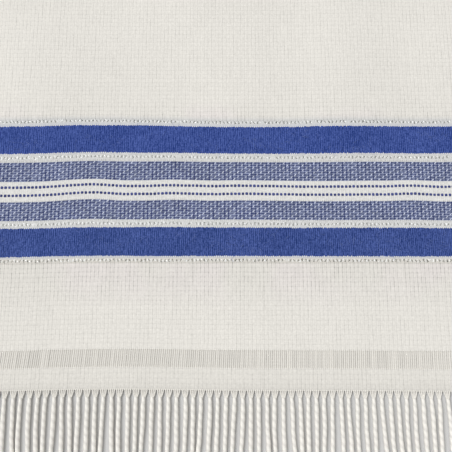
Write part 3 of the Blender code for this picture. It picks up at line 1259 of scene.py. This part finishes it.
def makeFiguredFloats(end, way, finish):
    # a short white warp float over every other crossing of each dark pick
    chance = random.Random(figured["seed"] + way)
    strayX, strayY = figured["wander"]
    height = cloth["wall"] + figured["rise"] * mm
    places = []
    for start, pitch in zip(figured["starts"], figured["rows"]):
        for row in range(figured["count"]):
            y = endPlace(way, start + (row + 0.5) * pitch)
            for number in range(-137, 138):
                x = (2 * number + row % 2) * weave["warpPair"] + figured["floatAt"]
                if offCloth(x * mm, figured["fromEdge"]):
                    continue
                wide, long, high = figured["floatSize"]
                wide *= chance.uniform(*figured["wideSpread"])
                place = laid((x + either(chance, strayX)) * mm, y + either(chance, strayY) * mm, height)
                turn = (0.0, 0.0, math.radians(figured["lean"] + either(chance, figured["leanSpread"])))
                size = (wide * mm, long * chance.uniform(*figured["longSpread"]) * mm, high * mm)
                places.append((place, turn, size, chance.random()))
    settle(scattered(end + "FiguredFloats", sliverSeed(end + "FloatSeed"), places, finish), "figured_stripe")


silver = {
    "lines": ((-40.32, 0.64), (-19.6, 0.44), (19.6, 0.46), (41.28, 0.66)),  # from the group's middle, strength
    "shift": 0.94,
    "strokeLong": (0.92, 1.28),
    "strokeWide": (0.21, 0.30),
    "strokeHigh": 0.12,
    "rise": 0.01,
    "wander": (0.08, 0.10),
    "leans": (-38, -24, -12, 10, 24, 38),  # degrees
    "weak": 0.06,  # the share of the marks that are paler
    "strokes": (0, 1, 1, 2),  # how many cross a turn of the pick, and how many glints lie beside it
    "glints": (1, 1, 2),
    "pick": (1.0, 0.05),  # length and tone of the pick's turn, of a stroke across it and of a glint; the low tones are painted dark reflection and shade, the high one a painted glint
    "stroke": (0.60, 0.12),
    "glint": (0.70, 0.90),
    "strokeAside": 0.30,
    "strokeRows": (-0.60, 0.0, 0.60),
    "strokeTurn": (50, 120),
    "glintAt": 1.10,
    "glintStrays": (0.25, 0.55, 60),  # either way across, along and turned
    "thinner": 0.55,
    "paler": 0.30,
    "weakPaler": 0.35,
    "toneSpread": 0.22,
    "fromEdge": 0.0015,
    "seed": 47,
}


def makeSilver(end, way, finish):
    # in each pair of warps the metal pick turns over once, in painted dark reflection and shade, with one or
    # two painted bright glints beside it
    chance = random.Random(silver["seed"] + way)
    strayX, strayY = silver["wander"]
    east, north, turnBy = silver["glintStrays"]
    height = cloth["wall"] + silver["rise"] * mm
    places = []
    for line, strength in silver["lines"]:
        y = endPlace(way, weave["groupCentre"] + line)
        for number in range(-273, 274):
            x = number * weave["warpPair"] + silver["shift"]
            if offCloth(x * mm, silver["fromEdge"]):
                continue
            weak = chance.random() < silver["weak"]
            lean = chance.choice(silver["leans"])
            marks = [(0.0, 0.0, lean, *silver["pick"])]  # across, along, turn, length, tone
            for stroke in range(chance.choice(silver["strokes"])):
                marks.append((either(chance, silver["strokeAside"]), chance.choice(silver["strokeRows"]),
                              lean + chance.uniform(*silver["strokeTurn"]), *silver["stroke"]))
            for glint in range(chance.choice(silver["glints"])):
                marks.append((silver["glintAt"] + either(chance, east), either(chance, north),
                              either(chance, turnBy), *silver["glint"]))
            for across, along, turned, share, tone in marks:
                long, wide = chance.uniform(*silver["strokeLong"]), chance.uniform(*silver["strokeWide"])
                if tone < 0.5:  # the dark ones, painted dark reflection and shade, thinner and paler in a faint line
                    wide *= 1 - silver["thinner"] * (1 - strength)
                    tone += silver["paler"] * (1 - strength) + chance.uniform(0.0, silver["toneSpread"])
                    tone += silver["weakPaler"] if weak else 0.0
                place = laid((x + across + either(chance, strayX)) * mm,
                             y + (along + either(chance, strayY)) * mm, height)
                size = (wide * mm, long * share * mm, silver["strokeHigh"] * mm)
                places.append((place, (0.0, 0.0, math.radians(-turned)), size, min(tone, 1.0)))
    settle(scattered(end + "SilverPicks", facetSeed(end + "SilverSeed"), places, finish), "silver_stripe")


fuzz = {
    "stripes": (80.675, 141.225),  # the blue stripes' middles, from the woven end, mm
    "clumps": 90,
    "eachClump": 10,
    "clumpSpread": (0.008, 2.2),  # across in metres, along in mm
    "clumpsOffMiddle": 6.0,
    "points": 4,
    "radius": 0.000045,
    "length": (0.0014, 0.0040),
    "bend": 1.6,
    "rise": (0.00008, 0.00035),  # at a hair's ends, and how much higher in the middle
    "fromEdge": (0.02, 0.002),  # of a clump and of a hair
    "colour": (0.26, 0.36, 0.78),
    "seed": 59,
}


def makeFuzz(end, way, finish):
    # loose fibres, thicker in some patches of the blue stripes than in others
    chance = random.Random(fuzz["seed"] + way)
    spreadX, spreadY = fuzz["clumpSpread"]
    clumpEdge, hairEdge = fuzz["fromEdge"]
    low, more = fuzz["rise"]
    pieces = fuzz["points"] - 1
    lines = []
    for middle in fuzz["stripes"]:
        for clump in range(fuzz["clumps"]):
            centreX = either(chance, cloth["width"] / 2 - clumpEdge)
            centreY = middle + either(chance, fuzz["clumpsOffMiddle"])
            for number in range(fuzz["eachClump"]):
                x = centreX + chance.gauss(0, spreadX)
                y = endPlace(way, centreY + chance.gauss(0, spreadY))
                heading = chance.uniform(0, 2 * math.pi)
                bend = either(chance, fuzz["bend"])
                length = chance.uniform(*fuzz["length"])
                line = []
                for share in shares(fuzz["points"]):
                    height = cloth["wall"] + low + more * math.sin(math.pi * share)
                    line.append((laid(x, y, height), 1.0 - 0.4 * share))
                    x += math.cos(heading) * length / pieces
                    y += math.sin(heading) * length / pieces
                    heading += bend / pieces
                if not any(offCloth(point.x, hairEdge) for point, size in line):
                    lines.append(line)
    settle(yarnPiece(end + "WoolFuzz", lines, fuzz["radius"], finish, resolution=0), "blue_wool")


# Corner eyelets and tassels

eyelet = {
    "stitches": 48,
    "radius": 0.00022,
    "reach": 0.0023,  # how far a stitch runs out over the cloth
    "reachSpread": (0.86, 1.06),
    "swing": 0.03,
    "overRim": ((-0.00026, 0.30), (-0.00024, 0.92), (0.00030, 1.0)),  # past the rim, and height in walls
    "onCloth": ((0.55, 1.0), (1.0, 0.93)),  # the same, the first as a share of the stitch's reach
    "rise": 0.00006,
    "seed": 97,
}


def makeEyelet(name, side, way, finish):
    chance = random.Random(eyelet["seed"] + side * 2 + way)
    centreX, centreY = holePlace(side, way)
    lines = []
    for number in range(eyelet["stitches"]):
        angle = 2 * math.pi * number / eyelet["stitches"]
        out = eyelet["reach"] * chance.uniform(*eyelet["reachSpread"])
        swing = either(chance, eyelet["swing"])
        line = []
        onCloth = [(share * out, height) for share, height in eyelet["onCloth"]]
        for distance, height in [*eyelet["overRim"], *onCloth]:
            across = cloth["holeRadius"] + distance
            turn = angle + swing * max(0.0, distance) / out
            x, y = centreX + across * math.cos(turn), centreY + across * math.sin(turn)
            line.append(((x, y, lifted(x, y) + cloth["wall"] * height + eyelet["rise"]), 1.0))
        lines.append(line)
    piece = yarnPiece(f"cornerEyelet_{name}", lines, eyelet["radius"], finish, resolution=0)
    return settle(piece, "natural_wool")


tassel = {
    "corners": (("near_left", -1, -1, 44.0), ("near_right", 1, -1, 31.0),
                ("far_left", -1, 1, 31.0), ("far_right", 1, 1, 44.0)),
    "windings": (7, 8, 11, 13),
    "pitch": 0.0015,
    "knotLength": 0.0055,
    "knotRadius": 0.0027,
    "knotCorner": 0.60,
    "knotRings": ((28, 0.0016), (-28, 0.0021), (26, 0.0034), (-26, 0.0040)),  # lean in degrees, place
    "knotSides": 14,
    "knotOval": 0.55,
    "stemRadius": 0.0020,
    "windingSides": 12,
    "windingInset": 0.00055,
    "windingShare": 1.12,
    "coreShare": 1.9,
    "strands": 8,
    "strandSteps": 30,
    "strandLength": 0.172,
    "lengthSpread": (0.93, 1.0),
    "spread": 0.038,
    "strandSway": 0.0020,
    "strandStart": (0.0012, 0.0011, 0.0022),  # into the knot, lift and sideways reach there
    "pastEdge": 0.0032,
    "bendPlace": 0.0010,
    "loopPoints": 9,
    "loopWander": 0.0002,
    "gatherFrom": 0.0006,  # past the selvedge
    "gatherInto": 0.0042,
    "gatherHeight": 0.0008,
    "gatherShare": 0.42,
    "stringPitch": 0.0011,
    "seed": 71,
}


def loopRoute():
    string, gap = cloth["string"], cloth["gap"]
    low = string / 2 + gap / 3
    high = loopLift + cloth["wall"] + gap + string / 2
    bend = (high - low) / 2
    reach = cloth["holeInset"] + tassel["pastEdge"]
    past = [reach + tassel["gatherInto"] * share for share in (1.0, 0.66, 0.33)]
    runs = past + [reach * share for share in (1.0, 0.965, 0.93, 0.85, 0.66, 0.5, 0.33, 0.15)]
    route = [(x, high) for x in runs]
    for share in shares(tassel["loopPoints"]):
        angle = math.pi / 2 + math.pi * share
        route.append((tassel["bendPlace"] + bend * math.cos(angle), low + bend + bend * math.sin(angle)))
    return route + [(x, low) for x in reversed(runs)]


def gathered(x, y, z):
    # past the selvedge the strings come together on their way into the knot
    past = x - cloth["holeInset"] - tassel["gatherFrom"]
    share = smoothShare(past / (tassel["pastEdge"] + tassel["gatherInto"]))
    middle, aside = tassel["knotRadius"], tassel["gatherHeight"]
    far = middle + (aside if z > middle else -aside)
    return x, y * (1 - (1 - tassel["gatherShare"]) * share), z + (far - z) * share


def loopLines(placed):
    lines = []
    for place in (-1.5, -0.5, 0.5, 1.5):
        aside = place * tassel["stringPitch"]
        lines.append([(placed(*gathered(x, aside + tassel["loopWander"] * math.sin(40 * x + place), z)), 1.0)
                      for x, z in loopRoute()])
    return lines


def stemLines(placed):
    # the lines of the knots and windings round a core, and how long the stem is
    string, middle = cloth["string"], tassel["knotRadius"]
    out = tassel["knotRadius"] - string / 2 - 0.00005
    wound = tassel["stemRadius"] - tassel["windingInset"]
    thick = tassel["windingInset"] / (string / 2) * tassel["windingShare"]
    sides, steps = tassel["knotSides"], tassel["windingSides"]
    lines = []
    at = 0.0
    for windings in tassel["windings"] + (0,):
        for lean, offset in tassel["knotRings"]:
            ring = []
            for step in range(sides):
                turn = 2 * math.pi * step / sides
                x = at + offset + math.tan(math.radians(lean)) * out * math.cos(turn) * tassel["knotOval"]
                ring.append((placed(x, out * math.cos(turn), middle + out * math.sin(turn)), 1.0))
            lines.append(ring + ring[:1])
        at += tassel["knotLength"]
        if windings:
            line = []
            for step in range(windings * steps + 1):
                turn = 2 * math.pi * step / steps
                x = at + step / steps * tassel["pitch"]
                line.append((placed(x, wound * math.cos(turn), middle + wound * math.sin(turn)), thick))
            lines.append(line)
            at += windings * tassel["pitch"]
    core = [(placed(share * at, 0.0, middle), tassel["coreShare"]) for share in (0.004, 0.25, 0.5, 0.75, 0.996)]
    return [core] + lines, at


def strandLines(placed, at, chance):
    radius, last = cloth["string"] / 2, tassel["strandSteps"]
    intoKnot, startLift, startFan = tassel["strandStart"]
    lines = []
    for number in range(tassel["strands"]):
        half = (tassel["strands"] - 1) / 2
        spread = (number - half) / half
        phase = chance.uniform(0, 2 * math.pi)
        length = tassel["strandLength"] * chance.uniform(*tassel["lengthSpread"])
        line = []
        for step in range(last + 1):
            share = step / last
            fan = startFan * (1 - share) + tassel["spread"] / 2 * 0.93 * share ** 0.8
            y = spread * fan + tassel["strandSway"] * math.sin(phase + 7.0 * share) * share
            x = at + cloth["gap"] - intoKnot + share * length
            lift = startLift * math.exp(-share * 26)
            thick = 1.0 if 0 < step < last - 2 else 1.35 if step in (last - 2, last - 1) else 0.8
            line.append((placed(x, y, radius * thick + 0.00003 + lift * (1 + number % 3)), thick))
        lines.append(line)
    return lines


def makeTassel(name, side, way, angle, finish):
    chance = random.Random(tassel["seed"] + len(name) + side * 3 + way)
    corner = Vector((*holePlace(side, way), 0.0))
    cornerTurn = Euler((0.0, 0.0, 0.0 if side > 0 else math.pi)).to_matrix()
    knotCorner = tassel["knotCorner"] * tassel["knotRadius"] * math.sin(math.radians(angle))
    pivot = Vector((cloth["holeInset"] + tassel["pastEdge"] + cloth["gap"] + knotCorner, 0.0, 0.0))
    pivotTurn = Euler((0.0, 0.0, math.radians(angle) * side * way)).to_matrix()

    def inCorner(x, y, z):
        return corner + cornerTurn @ Vector((x, y, z))

    def inTassel(x, y, z):
        return corner + cornerTurn @ (pivot + pivotTurn @ Vector((x, y, z)))

    stem, stemLength = stemLines(inTassel)
    for part, node, lines, resolution in (
            ("loopStrings", "loop", loopLines(inCorner), 2),
            ("woundStem", "stem", stem, 1),
            ("freeEnds", "strands", strandLines(inTassel, stemLength, chance), 2)):
        piece = yarnPiece(f"tzitzit_{name}_{part}", lines, cloth["string"] / 2, finish, resolution)
        settle(piece, "tassel_string", f"tzitzit_{name}_{node}")


makeCamera()
makeLight()
makeFloor()
print("camera, light and floor")
stretches = makeCloth()
goesWith = {(end, section): [] for end, way in ends for section, *others in endSections}
bareYarn = spunYarn("bareWarpYarn", wool["bareWarp"], bare=True)
fringeYarn = spunYarn("fringeYarn", wool["warp"])
rootYarn = spunYarn("fringeRootYarn", wool["warp"])
for end, way in ends:
    goesWith[end, "end_ground"].append(makeOpenBand(end, way, bareYarn))
    goesWith[end, "end_strip"].extend(makeFringe(end, way, fringeYarn, rootYarn))
print("open bands and fringes")
floatWool = dyedFloat("floatWool", wool["figuredFloat"])
silverFinish = silverTape("silverTape")
dotWool = dyedFloat("dotWool", dots["colour"])
fuzzWool = dyedFloat("fuzzWool", fuzz["colour"])
for end, way in ends:
    makeFiguredFloats(end, way, floatWool)
    makeSilver(end, way, silverFinish)
    makeDots(end, way, dotWool)
    makeFuzz(end, way, fuzzWool)
print("floats, silver picks, dots and fuzz")
eyeletThread = spunYarn("eyeletThread", wool["warp"])
stringFinish = spunYarn("tasselString", wool["string"])
for name, side, way, angle in tassel["corners"]:
    goesWith["near" if way < 0 else "far", "end_ground"].append(makeEyelet(name, side, way, eyeletThread))
    makeTassel(name, side, way, angle, stringFinish)
declareSheets(stretches, goesWith)
print("eyelets and tassels")
